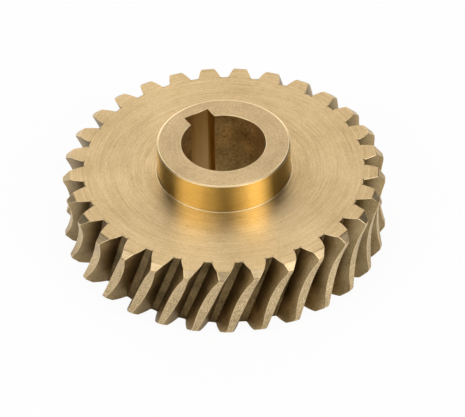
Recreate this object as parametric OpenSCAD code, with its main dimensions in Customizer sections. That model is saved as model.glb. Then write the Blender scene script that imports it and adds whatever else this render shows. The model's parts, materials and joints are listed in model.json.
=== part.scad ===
// Worm gear: a bronze worm wheel in one piece, with throated helical teeth, a hub on one
// side, a plain bore and one keyway. The tooth spaces have the form that a straight-sided
// hob generates in the rim. Millimetres. The bore's axis is Z, the flat face that has no
// hub lies on Z = 0, and the keyway points along +Y.

/* [Teeth] */
// Module of the wheel, which is also the axial module of its worm
module_mm = 3; // [2.5:0.25:4]
// Number of teeth on the wheel
teeth = 29; // [26:1:40]
// Angle that the teeth lean at the pitch line, which is the lead angle of the worm
lead_angle = 20.4; // [12:0.2:26]
// Pressure angle of the straight-sided hob, in its axial section
pressure_angle = 20; // [17:0.5:22.5]
// Height of the teeth above the pitch line, at the bottom of the throat
addendum = 3; // [2.4:0.1:3.4]
// Height of the hob's teeth above the hob's own pitch line
hob_addendum = 3.75; // [3.2:0.05:4]
// Distance that the hob is drawn back from the pitch line, to thicken the teeth
hob_shift = 1.18; // [0.6:0.02:1.6]
// Pitch diameter of the hob: a large one leaves long spaces with an almost level floor
hob_pitch_d = 170; // [120:5:240]

/* [Rim] */
// Width of the toothed rim between its two flat faces
face_w = 24; // [20:0.5:28]
// Width of the bevel beside each face, measured along the radius
bevel_w = 2.1; // [1:0.1:2.6]
// Height of the bevel beside each face
bevel_h = 1.8; // [1:0.1:3]
// Radius of the hollow throat turned round the rim
throat_r = 25.5; // [20:0.5:36]
// Rise of the throat from the middle of the rim to its lips
throat_rise = 1.75; // [1:0.05:2.2]

/* [Hub] */
// Diameter of the hub
hub_d = 40; // [34:0.5:48]
// Height of the hub above the toothed rim
hub_h = 10; // [4:0.5:20]
// Chamfer round the end of the hub
hub_chamfer = 0.3; // [0.2:0.1:1]
// Fillet where the hub meets the face
hub_fillet = 0.4; // [0.2:0.1:1]

/* [Bore and keyway] */
// Diameter of the bore
bore_d = 25; // [18:0.5:26]
// Chamfer at both ends of the bore
bore_chamfer = 0.3; // [0.2:0.1:0.8]
// Width of the keyway
key_w = 8; // [5:0.5:8]
// Depth of the keyway beyond the wall of the bore
key_depth = 3.3; // [2:0.1:3.5]

/* [Hidden] */
$fn = 128;
// Overlap of a cutting body past the surface that it cuts
past = 1;
// Steps of the rim's form: along the throat, down a flank and across a space's floor
throat_steps = 6;
flank_steps = 4;
floor_steps = 2;
// Halvings that find the depth at which a flank leaves the blank
halvings = 24;
// One degree in radians
rad = PI / 180;
pitch_angle = 360 / teeth;
wheel_pitch_r = module_mm * teeth / 2;
hob_pitch_r = hob_pitch_d / 2;
hob_r = hob_pitch_r + hob_addendum;
centre_dist = wheel_pitch_r + hob_shift + hob_pitch_r;
// Advance of the hob's thread for each radian of its turn
lead_per_rad = hob_pitch_r * tan(lead_angle);
throat_mid_r = wheel_pitch_r + addendum;
lip_r = throat_mid_r + throat_rise;
face_r = lip_r - bevel_w;
hub_r = hub_d / 2;
bore_r = bore_d / 2;
half_w = face_w / 2;
total_h = face_w + hub_h;
// Distances from the middle plane to the start of a bevel and to the edge of the throat
bevel_start = half_w - bevel_h;
throat_edge = min(bevel_start, sqrt(pow(throat_r, 2) - pow(throat_r - throat_rise, 2)));

// The hob's thread at a radius from the hob's axis: half its axial thickness
function thread_half(rho) =
    PI * module_mm / 4 - (rho - hob_pitch_r) * tan(pressure_angle);

// In the plane at height h over the middle plane, the hob's thread is a rack that the
// wheel's pitch circle rolls on. v is the depth below the hob's axis in that plane.
function rack_x(h, v, side) =
    -lead_per_rad * rad * atan2(h, v) + side * thread_half(norm([h, v]));
function rack_slope(h, v, side) =
    let (rho = norm([h, v]))
    lead_per_rad * h / pow(rho, 2) - side * tan(pressure_angle) * v / rho;

// Point of the wheel's flank that this point of the rack forms: where the rack's normal
// passes through the pitch point, turned back by the wheel's own roll
function flank_point(h, v, side) =
    let (
        y = centre_dist - v,
        x = (y - wheel_pitch_r) / rack_slope(h, v, side),
        roll = (x - rack_x(h, v, side)) / wheel_pitch_r / rad
    )
    [x * cos(roll) - y * sin(roll), x * sin(roll) + y * cos(roll)];

// Depth below the hob's axis of a space's floor
function floor_v(h) = sqrt(pow(hob_r, 2) - pow(h, 2));

// Radius of the turned blank: a bevel beside each face, a lip, and the hollow throat
function blank_r(h) =
    let (
        into_bevel = max(0, abs(h) - bevel_start) / bevel_h,
        throat = throat_mid_r + throat_r - sqrt(max(0, pow(throat_r, 2) - pow(h, 2)))
    )
    min(lip_r - into_bevel * bevel_w, throat);

// Depth v at which a flank leaves the blank, found by halving the range that holds it
function exit_v(h, side, outside, inside, left = halvings) =
    let (v = (outside + inside) / 2)
    left <= 0 ? v
    : norm(flank_point(h, v, side)) > blank_r(h) ? exit_v(h, side, v, inside, left - 1)
    : exit_v(h, side, outside, v, left - 1);

// One flank at height h, from the blank's surface down to the floor
function flank(h, side) =
    let (
        deep = floor_v(h),
        shallow = exit_v(h, side, centre_dist - lip_r - past, deep)
    )
    [for (i = [0:flank_steps])
        flank_point(h, shallow + (deep - shallow) * i / flank_steps, side)];

// Points between two others on a circle about the wheel's axis, both ends left out
function arc_between(a, b, steps) =
    let (from = atan2(a[1], a[0]), to = atan2(b[1], b[0]))
    [for (i = [1:1:steps - 1]) norm(a) * dir(from + (to - from) * i / steps)];
function dir(angle) = [cos(angle), sin(angle)];

// One tooth space at height h, from flank to flank by the floor
function space_outline(h) =
    let (near = flank(h, 1), far = flank(h, -1))
    concat(near, arc_between(near[flank_steps], far[flank_steps], floor_steps),
        [for (i = [flank_steps:-1:0]) far[i]]);

function turned(p, angle) =
    [p[0] * cos(angle) - p[1] * sin(angle), p[0] * sin(angle) + p[1] * cos(angle)];

// The toothed disc, skinned through its outlines at several heights. On each flat face a
// ring of triangles joins the outline to an inner polygon with a corner at every space.
module toothed_disc() {
    lip = throat_edge < bevel_start ? [bevel_start] : [];
    heights = concat([-half_w], -lip,
        [for (i = [0:throat_steps]) throat_edge * (2 * i / throat_steps - 1)], lip, [half_w]);
    spaces = [for (h = heights) space_outline(h)];
    last = len(heights) - 1;
    per = len(spaces[0]);
    count = per * teeth;
    rim = [for (i = [0:last]) for (k = [0:teeth - 1]) for (p = spaces[i])
        concat(turned(p, k * pitch_angle), [heights[i] + half_w])];
    walls = [for (i = [0:last - 1]) for (j = [0:count - 1])
        let (a = i * count + j, b = i * count + (j + 1) % count, c = b + count, d = a + count)
        each [[a, d, c], [a, c, b]]];

    inner_r = (hub_r + centre_dist - floor_v(half_w)) / 2;
    floor_mid = flank_steps + floor_steps / 2;
    inner = [for (i = [0, last]) for (k = [0:teeth - 1])
        let (p = spaces[i][floor_mid])
        concat(inner_r * turned(p, k * pitch_angle) / norm(p), [heights[i] + half_w])];
    // Triangles of one face's ring, in the order that faces down
    function face_ring(level, corner) = [for (k = [0:teeth - 1])
        let (
            start = level * count + k * per,
            end = start + per - 1,
            next = level * count + (k + 1) % teeth * per,
            here = corner + k,
            there = corner + (k + 1) % teeth
        )
        each concat([for (j = [start:end - 1]) [here, j, j + 1]],
            [[here, end, next], [here, next, there]])];
    function flipped(faces) = [for (f = faces) [f[0], f[2], f[1]]];
    base = len(rim);
    polyhedron(
        points = concat(rim, inner),
        faces = concat(walls,
            face_ring(0, base), [[for (k = [0:teeth - 1]) base + k]],
            flipped(face_ring(last, base + teeth)),
            [[for (k = [teeth - 1:-1:0]) base + teeth + k]]),
        convexity = 6);
}

// The turned hub, with a chamfered end and a small fillet at the face
module hub() {
    rotate_extrude() difference() {
        polygon([
            [0, face_w - past],
            [hub_r + hub_fillet, face_w - past],
            [hub_r + hub_fillet, face_w],
            [hub_r, face_w + hub_fillet],
            [hub_r, total_h - hub_chamfer],
            [hub_r - hub_chamfer, total_h],
            [0, total_h]
        ]);
        translate([hub_r + hub_fillet, face_w + hub_fillet]) circle(r = hub_fillet);
    }
}

module bore_cut() {
    translate([0, 0, -past]) cylinder(r = bore_r, h = total_h + 2 * past);
    for (end = [0, 1]) translate([0, 0, end * total_h]) mirror([0, 0, end])
        translate([0, 0, -past]) cylinder(
            r1 = bore_r + bore_chamfer + past, r2 = bore_r, h = bore_chamfer + past);
}

module keyway_cut() {
    translate([-key_w / 2, 0, -past]) cube([key_w, bore_r + key_depth, total_h + 2 * past]);
}

module worm_gear() {
    color([0.80, 0.66, 0.40]) difference() {
        union() {
            toothed_disc();
            hub();
        }
        bore_cut();
        keyway_cut();
    }
}

worm_gear();
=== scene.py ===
import json
import math
import bmesh
import bpy
from mathutils import Matrix, Vector

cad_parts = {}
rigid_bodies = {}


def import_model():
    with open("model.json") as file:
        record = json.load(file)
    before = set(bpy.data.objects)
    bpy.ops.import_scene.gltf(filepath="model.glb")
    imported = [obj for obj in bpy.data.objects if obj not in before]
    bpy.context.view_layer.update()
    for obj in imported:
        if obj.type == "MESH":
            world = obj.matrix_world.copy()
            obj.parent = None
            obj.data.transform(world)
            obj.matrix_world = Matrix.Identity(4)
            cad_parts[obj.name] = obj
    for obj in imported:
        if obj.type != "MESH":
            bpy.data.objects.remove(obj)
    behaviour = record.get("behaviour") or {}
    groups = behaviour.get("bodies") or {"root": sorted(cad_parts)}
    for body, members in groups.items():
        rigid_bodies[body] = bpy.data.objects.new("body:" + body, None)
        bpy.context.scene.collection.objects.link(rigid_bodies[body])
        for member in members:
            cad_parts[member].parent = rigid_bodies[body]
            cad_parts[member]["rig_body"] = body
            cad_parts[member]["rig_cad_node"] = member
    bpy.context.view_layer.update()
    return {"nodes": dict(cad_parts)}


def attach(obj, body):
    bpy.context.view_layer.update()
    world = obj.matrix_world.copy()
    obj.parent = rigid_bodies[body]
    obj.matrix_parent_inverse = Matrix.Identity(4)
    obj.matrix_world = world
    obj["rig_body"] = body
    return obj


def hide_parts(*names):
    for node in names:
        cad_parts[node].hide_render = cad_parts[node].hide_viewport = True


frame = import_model()

MM = 0.001

# Sizes of the solid, in millimetres: heights over the plain face and radii from the axis
MIDDLE = 12.0
FACE_TOP = 24.0
HUB_TOP = 34.0
BORE_R = 12.5
HUB_R = 20.0
THROAT_MID_R = 46.5
LIP_R = 48.25
# Radius of the hollow throat's own arc, and of the fillet at the hub's foot
THROAT_ARC_R = 25.5
HUB_FOOT = 0.4
# A bevel starts this far from the middle plane, and each millimetre beyond it takes this
# much off the radius
BEVEL_START = 10.2
BEVEL_DROP = 2.1 / 1.8

# Where one surface of the gear gives way to the next, in millimetres
HUB_END_FROM = HUB_TOP - 0.5
HUB_SIDE_FROM = FACE_TOP + 0.6
HUB_SIDE_TO = HUB_TOP - 0.35
HUB_TO_R = HUB_R + 1.0
INSIDE_TO_R = HUB_R - 1.5
BORE_CHAMFER_TO_R = BORE_R + 0.4
KEYWAY_BACK_FROM_Y = BORE_R + 1.0
SPACE_FLOOR_TO_R = 42.0
RIM_DEPTH = 0.35

# How much of a normal points along the axis, at the least: on a face that counts as
# level, on one that is exactly level, and on a chamfer
LEVEL = 0.9
EXACTLY_LEVEL = 0.9999
CHAMFER_LEVEL = 0.5
# How far a normal points straight away from the axis, from -1 to 1, at the least
KEYWAY_SIDE_OUTWARD = -0.5
BEVEL_OUTWARD = 0.5
SPACE_FLOOR_OUTWARD = 0.8
RIM_OUTWARD = 0.9
# How much of a normal lies across the axis, at the most, on a sloping face
SLOPING = 0.95

# How wide the edges are rounded, in metres, and in how many steps
BROKEN_EDGE = 0.14 * MM
SOFT_EDGE = 0.3 * MM
HUB_SOFT_EDGE = 0.32 * MM
TOOTH_FOOT = 0.35 * MM
SOFT_STEPS = 3
BROKEN_STEPS = 2
# Least and most turn of the edges that are rounded, in degrees
GENTLE_TURN = (20, 55)
SHARP_TURN = (55, 180)
FOOT_TURN = (35, 180)
# Radii and the height past which an edge belongs to the rim, the hub's end or the teeth's
# feet, in millimetres
RIM_EDGES_FROM_R = HUB_R + 5
HUB_END_EDGES_FROM_R = HUB_R - 0.5
HUB_END_EDGES_FROM = HUB_TOP - 0.1
FOOT_EDGES_FROM_R = 37.5

# Corners closer than this are one, in metres
SAME_CORNER = 0.001 * MM
# Slack in millimetres where a corner lies on an end ring of the hub's foot fillet, and
# where it lies short of one
ON_RING = 0.01
OFF_RING = 0.001
# Two triangles become one quad up to this turn and this slant, in degrees
QUAD_TURN = 25
QUAD_SLANT = 60

# The ranges of a mixed pattern over which the colour and the roughness change
COLOUR_RANGE = (0.36, 0.64)
ROUGHNESS_RANGE = (0.3, 0.7)
# How much the rings and the short streaks change on the way round the axis, and how many
# streaks there are for each ring across the marks
RINGS_ROUND = 2.5
STREAKS_ROUND = 30.0
STREAKS_PER_RING = 0.8
# Shares of fine grain and of slow mottle in a cut surface
GRAIN_SHARE = 0.6
MOTTLE_SHARE = 0.4
# The painted shade on the flanks fades between these heights over the plain face, in
# millimetres, until this share of the clean colour shows: the lower flanks stay lighter, as a
# painted reflection of the floor's light
SHADE_FADES_BELOW = 10.0
SHADE_GONE_BELOW = 4.5
SHADE_GONE_SHARE = 0.8


def only(obj):
    """Leaves one object selected and active."""
    bpy.ops.object.select_all(action="DESELECT")
    obj.select_set(True)
    bpy.context.view_layer.objects.active = obj


# Nodes that the finishes and the floor share

def node_adder(tree):
    """A function that adds a node to this tree and sets its options and sockets by name."""
    def add(kind, **values):
        node = tree.nodes.new(kind)
        for key, value in values.items():
            if hasattr(node, key):
                setattr(node, key, value)
            else:
                node.inputs[key.replace("_", " ")].default_value = value
        return node

    return add


def math_node(add, link, operation, *values):
    """One step of arithmetic on sockets and plain numbers."""
    node = add("ShaderNodeMath", operation=operation)
    for socket, value in zip(node.inputs, values):
        if isinstance(value, (int, float)):
            socket.default_value = value
        else:
            link(value, socket)
    return node.outputs[0]


def vector_node(add, link, operation, vector):
    """One step of arithmetic on a single vector."""
    node = add("ShaderNodeVectorMath", operation=operation)
    link(vector, node.inputs[0])
    return node


def map_range(add, link, value, source, target=(0.0, 1.0)):
    """A value carried over from one range to another, and kept inside it."""
    node = add("ShaderNodeMapRange", From_Min=source[0], From_Max=source[1],
               To_Min=target[0], To_Max=target[1])
    link(value, node.inputs["Value"])
    return node.outputs["Result"]


def split(add, link, vector):
    """The three parts of a vector, by name."""
    node = add("ShaderNodeSeparateXYZ")
    link(vector, node.inputs[0])
    return node.outputs


def off_axis(add, link, place):
    """The part of a place that lies across the gear's axis."""
    node = vector_node(add, link, "MULTIPLY", place)
    node.inputs[1].default_value = (1, 1, 0)
    return node.outputs[0]


def noise_of(add, link, place, scale, detail, roughness):
    """Noise with about so many lumps, by its scale, in each unit of its place."""
    node = add("ShaderNodeTexNoise", Scale=scale, Detail=detail, Roughness=roughness)
    link(place, node.inputs["Vector"])
    return node.outputs["Fac"]


def blend_of(add, link, parts):
    """Weighted sum of several patterns: each part is a pattern and its weight."""
    total = None
    for pattern, weight in parts:
        share = math_node(add, link, "MULTIPLY", pattern, weight)
        total = share if total is None else math_node(add, link, "ADD", total, share)
    return total


# What every bronze finish is made of

def new_bronze(name):
    """A bare bronze: its material, its shader, and the ways to add and link its nodes."""
    finish = bpy.data.materials.new(name)
    finish.use_nodes = True
    tree = finish.node_tree
    shader = tree.nodes["Principled BSDF"]
    shader.inputs["Metallic"].default_value = 1.0
    return finish, shader, node_adder(tree), tree.links.new


def colour_of(add, link, pattern, dark, light):
    """A colour that runs from dark to light with a pattern."""
    ramp = add("ShaderNodeValToRGB")
    for stop, place, colour in zip(ramp.color_ramp.elements, COLOUR_RANGE, (dark, light)):
        stop.position = place
        stop.color = (*colour, 1)
    link(pattern, ramp.inputs["Fac"])
    return ramp.outputs["Color"]


def roughness_of(add, link, shader, pattern, middle, spread):
    """Roughness that follows a pattern, from middle minus spread to middle plus spread."""
    rough = map_range(add, link, pattern, ROUGHNESS_RANGE, (middle - spread, middle + spread))
    link(rough, shader.inputs["Roughness"])


def bump_of(add, link, shader, pattern, depth_mm):
    """Fine relief that follows a pattern."""
    bump = add("ShaderNodeBump", Strength=1.0, Distance=depth_mm * MM)
    link(pattern, bump.inputs["Height"])
    link(bump.outputs[0], shader.inputs["Normal"])


def turning_marks(add, link, place, along_height, per_metre, per_round):
    """Marks left by a turning tool: noise that changes fast with the radius, or with the
    height on a cylinder, and far more slowly on the way round the axis."""
    flat = off_axis(add, link, place)
    if along_height:
        across = split(add, link, place)["Z"]
    else:
        across = vector_node(add, link, "LENGTH", flat).outputs["Value"]
    around = split(add, link, vector_node(add, link, "NORMALIZE", flat).outputs[0])
    marks = add("ShaderNodeCombineXYZ")
    link(math_node(add, link, "MULTIPLY", across, per_metre), marks.inputs["X"])
    link(math_node(add, link, "MULTIPLY", around["X"], per_round), marks.inputs["Y"])
    link(math_node(add, link, "MULTIPLY", around["Y"], per_round), marks.inputs["Z"])
    return noise_of(add, link, marks.outputs[0], scale=1.0, detail=4.0, roughness=0.62)


def across_marks(add, link, place, along_height):
    """Direction across the tool marks, along which their gloss is drawn out: away from
    the axis on a face, and along the axis on a cylinder."""
    if along_height:
        return add("ShaderNodeCombineXYZ", Z=1.0).outputs[0]
    return vector_node(add, link, "NORMALIZE", off_axis(add, link, place)).outputs[0]


def turned_finish(name, dark, light, roughness, spread, anisotropy, along_height=False,
                  per_metre=2600.0, ring_depth=0.004, shares=(0.3, 0.3, 0.15, 0.25)):
    """Bronze off the lathe: long rings, short streaks, a slow mottle and a fine grain, in
    those shares, and a gloss that is drawn out across the rings. along_height is for a
    cylinder, and ring_depth is in millimetres."""
    finish, shader, add, link = new_bronze(name)
    place = add("ShaderNodeTexCoord").outputs["Object"]
    rings = turning_marks(add, link, place, along_height, per_metre, RINGS_ROUND)
    streaks = turning_marks(add, link, place, along_height, per_metre * STREAKS_PER_RING,
                            STREAKS_ROUND)
    mottle = noise_of(add, link, place, scale=60.0, detail=4.0, roughness=0.6)
    grain = noise_of(add, link, place, scale=2400.0, detail=3.0, roughness=0.7)
    mixed = blend_of(add, link, zip((rings, streaks, mottle, grain), shares))
    link(colour_of(add, link, mixed, dark, light), shader.inputs["Base Color"])
    roughness_of(add, link, shader, mixed, roughness, spread)
    bump_of(add, link, shader, rings, ring_depth)
    shader.inputs["Anisotropic"].default_value = anisotropy
    link(across_marks(add, link, place, along_height), shader.inputs["Tangent"])
    return finish


def colour_socket(sockets, name):
    """The colour among the sockets of a mix that share a name."""
    return next(s for s in sockets if s.type == "RGBA" and s.name == name)


def with_space_shade(add, link, place, clean, inner, outer, shade_colour):
    """The clean colour with painted shade that darkens it towards the floors of the tooth
    spaces: full at the inner radius, gone at the outer one, and faint low down."""
    radius = vector_node(add, link, "LENGTH", off_axis(add, link, place)).outputs["Value"]
    out = map_range(add, link, radius, (inner * MM, outer * MM))
    low = map_range(add, link, split(add, link, place)["Z"],
                    (SHADE_FADES_BELOW * MM, SHADE_GONE_BELOW * MM), (0.0, SHADE_GONE_SHARE))
    mix = add("ShaderNodeMix", data_type="RGBA", blend_type="MIX")
    link(math_node(add, link, "MAXIMUM", out, low), mix.inputs[0])
    colour_socket(mix.inputs, "A").default_value = (*shade_colour, 1)
    link(clean, colour_socket(mix.inputs, "B"))
    return colour_socket(mix.outputs, "Result")


def cut_finish(name, dark, light, roughness, spread, grain_scale, grain_depth,
               space_shade=None, stretch=(1, 1, 1)):
    """Bronze as the hob, the boring tool or the broach leaves it: grainy and dull. The
    argument after grain_depth gives the inner radius, the outer radius and the colour of
    painted shade that darkens it towards the floors of the tooth spaces, stretch scales the
    pattern along each axis, and grain_depth is in millimetres."""
    finish, shader, add, link = new_bronze(name)
    place = add("ShaderNodeTexCoord").outputs["Object"]
    scaled = add("ShaderNodeMapping", Scale=stretch)
    link(place, scaled.inputs["Vector"])
    drawn = scaled.outputs[0]
    grain = noise_of(add, link, drawn, scale=grain_scale, detail=6.0, roughness=0.7)
    mottle = noise_of(add, link, drawn, scale=160.0, detail=3.0, roughness=0.5)
    mixed = blend_of(add, link, ((grain, GRAIN_SHARE), (mottle, MOTTLE_SHARE)))
    colour = colour_of(add, link, mixed, dark, light)
    if space_shade:
        colour = with_space_shade(add, link, place, colour, *space_shade)
    link(colour, shader.inputs["Base Color"])
    roughness_of(add, link, shader, mixed, roughness, spread)
    bump_of(add, link, shader, grain, grain_depth)
    return finish


# The gear's finishes, in the order of its material slots: each has a darkest and a
# lightest colour. The hub's edge is also the finish of its foot and of the bore's
# chamfers.
FINISHES = {
    "turned_face": turned_finish(
        "turned_face_bronze", (0.40, 0.27, 0.117), (0.76, 0.562, 0.313),
        roughness=0.34, spread=0.05, anisotropy=0.85, shares=(0.34, 0.16, 0.26, 0.24)),
    "bevel": turned_finish(
        "turned_bevel_bronze", (0.34, 0.248, 0.128), (0.69, 0.53, 0.315),
        roughness=0.39, spread=0.05, anisotropy=0.0, shares=(0.2, 0.2, 0.2, 0.4)),
    "hub_end": turned_finish(
        "hub_end_bronze", (0.315, 0.215, 0.102), (0.715, 0.525, 0.293),
        roughness=0.40, spread=0.06, anisotropy=0.7, shares=(0.2, 0.25, 0.27, 0.28)),
    "hub_side": turned_finish(
        "hub_side_bronze", (0.67, 0.48, 0.155), (0.90, 0.70, 0.295),
        roughness=0.22, spread=0.03, anisotropy=0.0, along_height=True,
        per_metre=4200.0),
    "rim": turned_finish(
        "throat_bronze", (0.27, 0.185, 0.085), (0.98, 0.77, 0.46),
        roughness=0.42, spread=0.08, anisotropy=0.3, along_height=True,
        per_metre=3000.0, ring_depth=0.008, shares=(0.1, 0.1, 0.2, 0.6)),
    # The flanks carry painted shade that darkens them towards the floors of the tooth spaces,
    # fainter low down
    "tooth_flank": cut_finish(
        "hobbed_flank_painted_shade_bronze", (0.27, 0.185, 0.08), (0.62, 0.46, 0.24),
        roughness=0.40, spread=0.06, grain_scale=2000.0, grain_depth=0.012,
        space_shade=(41.0, 47.5, (0.10, 0.065, 0.022))),
    # The floors are coloured much darker than the flanks: painted shade for the deep, narrow
    # tooth spaces
    "space_floor": cut_finish(
        "hobbed_floor_painted_shade_bronze", (0.05, 0.032, 0.012), (0.31, 0.215, 0.095),
        roughness=0.46, spread=0.08, grain_scale=2000.0, grain_depth=0.02),
    "bore": cut_finish(
        "bored_bronze", (0.36, 0.262, 0.12), (1.0, 0.77, 0.40),
        roughness=0.40, spread=0.08, grain_scale=1300.0, grain_depth=0.012),
    # The keyway's back wall is coloured much paler than the bore: painted light for the lit
    # wall
    "keyway": cut_finish(
        "broached_painted_light_bronze", (0.82, 0.60, 0.29), (1.0, 0.79, 0.44),
        roughness=0.34, spread=0.08, grain_scale=2000.0, grain_depth=0.010,
        stretch=(1, 1, 0.05)),
    "keyway_side": cut_finish(
        "broached_side_bronze", (0.47, 0.28, 0.065), (0.73, 0.47, 0.15),
        roughness=0.34, spread=0.08, grain_scale=2000.0, grain_depth=0.010,
        stretch=(1, 1, 0.05)),
    # The hub's edges, its foot and the bore's chamfers are pale and nearly even: a painted
    # highlight over what the rounded edges catch, so they show as bright lines
    "hub_edge": cut_finish(
        "hub_edge_highlight_bronze", (0.72, 0.54, 0.29), (0.90, 0.70, 0.40),
        roughness=0.30, spread=0.02, grain_scale=900.0, grain_depth=0.0005),
    # The broken edges are paler than the faces they join: partly polished wear, partly a
    # painted highlight along the edges
    "broken_edge": cut_finish(
        "broken_edge_wear_and_highlight_bronze", (0.66, 0.49, 0.26), (0.92, 0.71, 0.41),
        roughness=0.32, spread=0.06, grain_scale=1800.0, grain_depth=0.006),
}
SLOT = {name: index for index, name in enumerate(FINISHES)}


# The gear's body

def blank_radius(height):
    """Radius of the turned blank at a height over the plain face, in millimetres."""
    off = abs(height - MIDDLE)
    arc = math.sqrt(max(0.0, THROAT_ARC_R ** 2 - off ** 2))
    bevel = LIP_R - max(0.0, off - BEVEL_START) * BEVEL_DROP
    return min(bevel, THROAT_MID_R + THROAT_ARC_R - arc)


def finish_of(face):
    """The finish that one face of the gear has, by its place and the way it points."""
    middle, normal = face.calc_center_median() / MM, face.normal
    radius = middle.xy.length
    if abs(normal.z) > LEVEL:
        return "hub_end" if middle.z > HUB_END_FROM else "turned_face"
    outward = normal.xy.normalized().dot(middle.xy.normalized())
    if radius < INSIDE_TO_R:
        if outward > KEYWAY_SIDE_OUTWARD:
            return "keyway_side"
        if radius < BORE_CHAMFER_TO_R and abs(normal.z) > CHAMFER_LEVEL:
            return "hub_edge"
        return "keyway" if middle.y > KEYWAY_BACK_FROM_Y else "bore"
    if radius < HUB_TO_R:
        return "hub_side" if HUB_SIDE_FROM <= middle.z <= HUB_SIDE_TO else "hub_edge"
    past_bevel_start = abs(middle.z - MIDDLE) > BEVEL_START
    if past_bevel_start and outward > BEVEL_OUTWARD and normal.xy.length < SLOPING:
        return "bevel"
    if outward > RIM_OUTWARD and radius > blank_radius(middle.z) - RIM_DEPTH:
        return "rim"
    if outward > SPACE_FLOOR_OUTWARD and radius < SPACE_FLOOR_TO_R:
        return "space_floor"
    return "tooth_flank"


def one_strip_foot(bm):
    """Draws the fillet at the hub's foot together into one clean strip, which shades as
    round: the corners between its two end rings move to the nearest of the upper ring."""
    upper = {}
    between = []
    for v in bm.verts:
        out = v.co.xy.length / MM - HUB_R
        up = v.co.z / MM - FACE_TOP
        if abs(up - HUB_FOOT) < ON_RING and abs(out) < ON_RING:
            upper[math.atan2(v.co.y, v.co.x)] = v.co.copy()
        elif -ON_RING < out < HUB_FOOT - OFF_RING and -ON_RING < up < HUB_FOOT - OFF_RING:
            between.append(v)
    angles = sorted(upper)
    for v in between:
        angle = math.atan2(v.co.y, v.co.x)
        nearest = min(angles, key=lambda other: abs(math.remainder(angle - other, math.tau)))
        v.co = upper[nearest]


def merge_corners():
    """Makes the corners that lie on one another one, all over the mesh in edit mode."""
    bpy.ops.mesh.select_all(action="SELECT")
    bpy.ops.mesh.remove_doubles(threshold=SAME_CORNER)


def round_edges(gear, finish, width, steps, turns, convex=True, from_r=0.0,
                from_height=-math.inf):
    """Rounds the convex or the hollow edges that turn by so much, past a radius and over a
    height in millimetres, and gives the new faces a finish."""
    least, most = turns
    bpy.ops.mesh.select_mode(type="EDGE")
    bpy.ops.mesh.select_all(action="DESELECT")
    bm = bmesh.from_edit_mesh(gear.data)
    for edge in bm.edges:
        middle = (edge.verts[0].co + edge.verts[1].co) / 2
        turn = math.degrees(edge.calc_face_angle(0))
        if (edge.is_convex == convex and least <= turn < most
                and middle.xy.length >= from_r * MM and middle.z >= from_height * MM):
            edge.select_set(True)
    bmesh.update_edit_mesh(gear.data)
    bpy.ops.mesh.bevel(offset=width, offset_type="OFFSET", segments=steps,
                       clamp_overlap=False, material=SLOT[finish])


def make_gear():
    """The gear's body from its solid, with every edge broken and the teeth's feet rounded."""
    only(frame["nodes"]["worm_gear"])
    bpy.ops.object.duplicate()
    gear = bpy.context.view_layer.objects.active
    gear.name = gear.data.name = "gear_body"
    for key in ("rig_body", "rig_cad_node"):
        del gear[key]
    bpy.ops.object.parent_clear(type="CLEAR_KEEP_TRANSFORM")
    only(gear)
    gear.data.materials.clear()
    for finish in FINISHES.values():
        gear.data.materials.append(finish)

    bpy.ops.object.mode_set(mode="EDIT")
    bpy.ops.mesh.customdata_custom_splitnormals_clear()
    merge_corners()
    bm = bmesh.from_edit_mesh(gear.data)
    one_strip_foot(bm)
    bmesh.update_edit_mesh(gear.data)
    merge_corners()
    bpy.ops.mesh.tris_convert_to_quads(face_threshold=math.radians(QUAD_TURN),
                                       shape_threshold=math.radians(QUAD_SLANT))
    bm = bmesh.from_edit_mesh(gear.data)
    for face in bm.faces:
        face.material_index = SLOT[finish_of(face)]
    bmesh.update_edit_mesh(gear.data)

    round_edges(gear, "turned_face", SOFT_EDGE, SOFT_STEPS, GENTLE_TURN,
                from_r=RIM_EDGES_FROM_R)
    round_edges(gear, "hub_edge", HUB_SOFT_EDGE, SOFT_STEPS, GENTLE_TURN,
                from_r=HUB_END_EDGES_FROM_R, from_height=HUB_END_EDGES_FROM)
    round_edges(gear, "space_floor", TOOTH_FOOT, SOFT_STEPS, FOOT_TURN, convex=False,
                from_r=FOOT_EDGES_FROM_R)
    round_edges(gear, "broken_edge", BROKEN_EDGE, BROKEN_STEPS, SHARP_TURN)
    bpy.ops.object.mode_set(mode="OBJECT")
    only(gear)
    bpy.ops.object.shade_smooth()
    for face in gear.data.polygons:
        face.use_smooth = abs(face.normal.z) < EXACTLY_LEVEL
    weigh = gear.modifiers.new("flat_faces_stay_flat", "WEIGHTED_NORMAL")
    weigh.keep_sharp = False
    bpy.ops.object.modifier_apply(modifier=weigh.name)
    return gear


gear = make_gear()
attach(gear, "root")
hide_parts("worm_gear")


# Floor

FLOOR_SIZE = 6.0
# The floor lies this far under the gear, so that the two don't share a plane
FLOOR_DROP = 0.02 * MM
FLOOR_GREY = 0.9
# Share of plain white in what the camera and the metal see of the floor; the rest keeps
# the gear's shadow
FLOOR_WHITE_SHARE = 0.94
# Radii in metres between which the metal starts to see the floor's white: nearer in it
# sees the gear's own shadow
SHADOW_RADIUS = 0.036
CLEAR_RADIUS = 0.110


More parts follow.
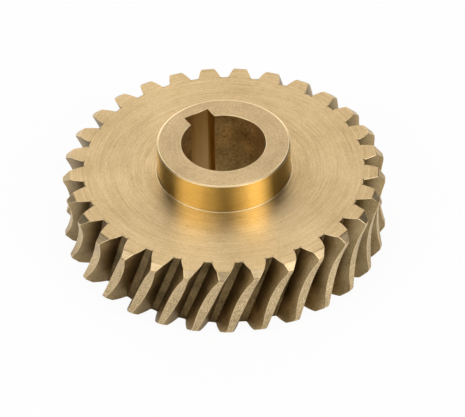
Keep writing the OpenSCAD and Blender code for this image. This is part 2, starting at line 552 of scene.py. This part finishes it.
def make_floor():
    """A plain pale floor that shows white and keeps the gear's soft shadow."""
    bpy.ops.object.select_all(action="DESELECT")
    bpy.ops.mesh.primitive_plane_add(size=FLOOR_SIZE, location=(0, 0, -FLOOR_DROP))
    floor = bpy.context.view_layer.objects.active
    floor.name = "floor"
    paint = bpy.data.materials.new("white_floor")
    paint.use_nodes = True
    tree = paint.node_tree
    tree.nodes.clear()
    add, link = node_adder(tree), tree.links.new
    matt = add("ShaderNodeBsdfDiffuse", Color=(FLOOR_GREY, FLOOR_GREY, FLOOR_GREY, 1))
    white = add("ShaderNodeEmission", Color=(1, 1, 1, 1), Strength=1.0)
    place = add("ShaderNodeTexCoord").outputs["Object"]
    reach = vector_node(add, link, "LENGTH", place).outputs["Value"]
    clear = map_range(add, link, reach, (SHADOW_RADIUS, CLEAR_RADIUS))
    ray = add("ShaderNodeLightPath").outputs
    in_metal = math_node(add, link, "MAXIMUM", ray["Is Glossy Ray"], ray["Is Transmission Ray"])
    seen = math_node(add, link, "MULTIPLY_ADD", in_metal, clear, ray["Is Camera Ray"])
    mix = add("ShaderNodeMixShader")
    link(math_node(add, link, "MULTIPLY", seen, FLOOR_WHITE_SHARE), mix.inputs["Fac"])
    link(matt.outputs[0], mix.inputs[1])
    link(white.outputs[0], mix.inputs[2])
    link(mix.outputs[0], add("ShaderNodeOutputMaterial").inputs["Surface"])
    floor.data.materials.append(paint)


# Camera

# The camera's place round the middle of the hub-side face, in degrees and metres, and its
# roll. Azimuth 0 lies towards -Y.
CAMERA_AZIMUTH = -30.67
CAMERA_ELEVATION = 41.231
CAMERA_DISTANCE = 1.539
CAMERA_ROLL = math.radians(-1.056)
# Focal length, sensor width and clipping distances, as the camera's own settings have them
LENS = 398.84
SENSOR = 36.0
CLIP = (0.05, 20)
FACE_CENTRE = Vector((0, 0, FACE_TOP * MM))
# Size of the picture, and where the middle of the hub-side face lies in it, in pixels
PICTURE = (465, 417)
FACE_CENTRE_AT = (224.0, 168.0)


def toward(azimuth, elevation):
    """Unit vector from the gear to a place round it."""
    a, e = math.radians(azimuth), math.radians(elevation)
    return Vector((math.sin(a) * math.cos(e), -math.cos(a) * math.cos(e), math.sin(e)))


def make_camera():
    """The camera at the photograph's angle; it looks past the face's centre, with no shift."""
    back = toward(CAMERA_AZIMUTH, CAMERA_ELEVATION)
    level = Vector((0, 0, 1)).cross(back).normalized()
    upright = back.cross(level)
    right = level * math.cos(CAMERA_ROLL) + upright * math.sin(CAMERA_ROLL)
    up = back.cross(right)
    pixels_per_unit = LENS / SENSOR * PICTURE[0]
    off_x = (PICTURE[0] / 2 - FACE_CENTRE_AT[0]) / pixels_per_unit
    off_y = (PICTURE[1] / 2 - FACE_CENTRE_AT[1]) / pixels_per_unit
    view = (-back + right * off_x - up * off_y).normalized()
    right = (right - view * right.dot(view)).normalized()
    up = right.cross(view)
    place = FACE_CENTRE + back * CAMERA_DISTANCE
    data = bpy.data.cameras.new("camera")
    data.lens, data.sensor_width = LENS, SENSOR
    data.clip_start, data.clip_end = CLIP
    camera = bpy.data.objects.new("camera", data)
    bpy.context.scene.collection.objects.link(camera)
    turn = Matrix((right, up, -view)).transposed().to_4x4()
    camera.matrix_world = Matrix.Translation(place) @ turn
    bpy.context.scene.camera = camera


# Light

# Soft boxes round the gear: name, azimuth from the camera's and elevation in degrees,
# distance, width and height in metres, and radiance
SOFT_BOXES = (
    ("overhead", 180, 78, 1.1, 0.75, 1.3, 1.15),
    ("far_side", 177, 36, 1.5, 0.95, 0.9, 1.15),
    ("far_left", -150, 32, 1.5, 0.5, 0.8, 1.2),
    ("near_left", -52, 40, 1.4, 1.6, 1.0, 1.3),
    ("near_left_core", -58, 40, 1.4, 0.8, 1.0, 1.3),
    ("near_right", 50, 40, 1.4, 1.35, 1.0, 1.7),
    ("near_right_core", 54, 40, 1.4, 0.6, 1.0, 1.9),
    ("near_middle", 0, 40, 1.45, 0.7, 1.0, 0.3),
    ("backdrop_left", -148, 4, 1.7, 1.3, 0.5, 2.2),
    ("backdrop_far", 180, 12, 1.7, 1.9, 0.6, 1.0),
    ("backdrop_right", 148, 4, 1.7, 1.3, 0.5, 1.8),
)
ROOM_COLOUR = (0.9, 0.93, 1, 1)
ROOM_STRENGTH = 0.03


def soft_box(name, azimuth, elevation, distance, width, height, radiance):
    """A square-cornered studio light that faces the gear."""
    place = toward(azimuth + CAMERA_AZIMUTH, elevation) * distance
    bpy.ops.object.light_add(type="AREA", location=place)
    lamp = bpy.context.view_layer.objects.active
    lamp.name = lamp.data.name = name
    lamp.data.shape = "RECTANGLE"
    lamp.data.size, lamp.data.size_y = width, height
    lamp.data.energy = radiance * math.pi * width * height
    lamp.rotation_euler = (-place).to_track_quat("-Z", "Y").to_euler()


def make_room():
    """The faint even light of the room."""
    world = bpy.context.scene.world or bpy.data.worlds.new("studio")
    bpy.context.scene.world = world
    world.use_nodes = True
    background = world.node_tree.nodes["Background"]
    background.inputs["Color"].default_value = ROOM_COLOUR
    background.inputs["Strength"].default_value = ROOM_STRENGTH


make_floor()
for box in SOFT_BOXES:
    soft_box(*box)
make_room()
make_camera()
bpy.context.scene.view_settings.view_transform = "Standard"
